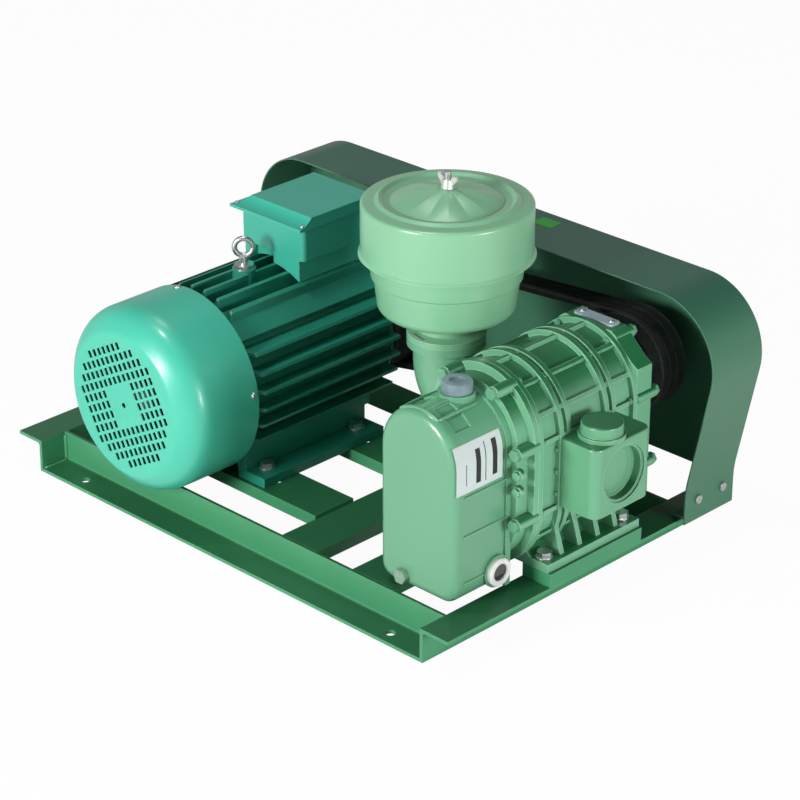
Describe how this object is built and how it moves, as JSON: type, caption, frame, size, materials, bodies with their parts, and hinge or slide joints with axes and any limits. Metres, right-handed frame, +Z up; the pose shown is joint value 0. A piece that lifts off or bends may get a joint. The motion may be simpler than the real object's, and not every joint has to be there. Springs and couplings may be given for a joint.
{
  "type": "roots vacuum pump",
  "caption": "Belt-driven roots vacuum pump set: lobe blower with gear case, electric motor, intake filter and belt guard on a welded angle frame.",
  "frame": {"origin": "centre of the rectangle of four anchor holes, at floor level", "axes": "+Z up; +X along the frame's length, from the motor to the blower; +Y from the fan cowl and gear case towards the belt guard"},
  "size_m": [0.9219, 0.58, 0.5393],
  "materials": {
    "frame_paint": "semi-gloss mid green enamel",
    "cowl_paint": "glossy teal enamel",
    "motor_paint": "glossy teal enamel on cast iron",
    "terminal_paint": "glossy teal enamel on pressed steel",
    "fan_plastic": "matt black moulding",
    "shaft_steel": "ground steel",
    "bearing_steel": "polished bearing steel",
    "zinc": "bright zinc plating",
    "wing_nut_zinc": "pale zinc plating",
    "drain_zinc": "zinc plating",
    "lamination_steel": "varnished laminations",
    "blower_paint": "satin sage green over cast iron",
    "gear_case_paint": "satin sage green over cast iron",
    "box_paint": "satin sage green",
    "rotor_iron": "machined cast iron",
    "gear_steel": "oiled gear steel",
    "filter_paint": "glossy light green enamel",
    "filter_paper": "pleated filter paper",
    "guard_paint": "satin green enamel",
    "belt_rubber": "matt black rubber",
    "pulley_iron": "dark cast iron",
    "cap_plastic": "grey-blue moulding",
    "sight_ring_plastic": "white moulding",
    "sight_glass": "dark oil behind glass",
    "gland_plastic": "black moulding"
  },
  "bodies": {
    "root": {"bar_blower": "frame_paint", "bar_middle": "frame_paint", "bearing_cover_lower": "blower_paint", "belt_guard_back": "guard_paint", "belt_guard_band": "guard_paint", "blower_bearings": "bearing_steel", "blower_casing": "blower_paint", "blower_foot_bolts": "zinc", "cable_gland": "gland_plastic", "discharge_box": "box_paint", "discharge_box_cap": "box_paint", "discharge_port_blank": "box_paint", "drive_seal_cover": "blower_paint", "fan_cowl": "cowl_paint", "filter_bowl": "filter_paint", "filter_cover": "filter_paint", "filter_element": "filter_paper", "filter_neck": "filter_paint", "filter_stud": "zinc", "foot_bar_left": "frame_paint", "foot_bar_right": "frame_paint", "gear_case": "gear_case_paint", "guard_bolts": "zinc", "guard_brackets": "guard_paint", "intake_elbow": "blower_paint", "lifting_eye": "zinc", "motor_bar_drive_feet": "frame_paint", "motor_bar_rear_feet": "frame_paint", "motor_bearings": "bearing_steel", "motor_drive_shield": "motor_paint", "motor_fan_shield": "motor_paint", "motor_foot_bolts": "zinc", "motor_frame": "motor_paint", "oil_drain_plug": "drain_zinc", "plate_bolts": "zinc", "rail_front": "frame_paint", "rail_left": "frame_paint", "rail_rear": "frame_paint", "rail_right": "frame_paint", "side_plate_drive_end": "blower_paint", "side_plate_gear_end": "blower_paint", "sight_glass_lens": "sight_glass", "sight_glass_ring": "sight_ring_plastic", "stator": "lamination_steel", "terminal_box": "terminal_paint", "terminal_box_lid": "terminal_paint", "v_belts": "belt_rubber"},
    "motor_rotor": {"motor_shaft": "shaft_steel", "motor_rotor_core": "lamination_steel", "motor_fan": "fan_plastic", "motor_pulley": "pulley_iron"},
    "blower_drive": {"shaft_upper": "shaft_steel", "rotor_upper": "rotor_iron", "timing_gear_upper": "gear_steel", "blower_pulley": "pulley_iron"},
    "blower_driven": {"shaft_lower": "shaft_steel", "rotor_lower": "rotor_iron", "timing_gear_lower": "gear_steel"},
    "wing_nut": {"wing_nut": "wing_nut_zinc"},
    "oil_cap": {"oil_filler_cap": "cap_plastic"}
  },
  "joints": [
    {"name": "motor_spin", "type": "hinge", "parent": "root", "child": "motor_rotor", "pos_m": [-0.171, 0, 0.187], "axis": [0, 1, 0], "continuous": true},
    {"name": "blower_drive_spin", "type": "hinge", "parent": "root", "child": "blower_drive", "pos_m": [0.323, 0, 0.254], "axis": [0, 1, 0], "continuous": true},
    {"name": "blower_driven_spin", "type": "hinge", "parent": "root", "child": "blower_driven", "pos_m": [0.323, 0, 0.1505], "axis": [0, 1, 0], "continuous": true},
    {"name": "wing_nut_turn", "type": "hinge", "parent": "root", "child": "wing_nut", "pos_m": [0.154, 0.0173, 0.52], "axis": [0, 0, 1], "continuous": true},
    {"name": "oil_cap_turn", "type": "hinge", "parent": "root", "child": "oil_cap", "pos_m": [0.323, -0.1405, 0.33], "axis": [0, 0, 1], "continuous": true}
  ],
  "couplings": [
    {"joint": "blower_drive_spin", "follows": "motor_spin", "ratio": 1.3333},
    {"joint": "blower_driven_spin", "follows": "motor_spin", "ratio": -1.3333}
  ]
}
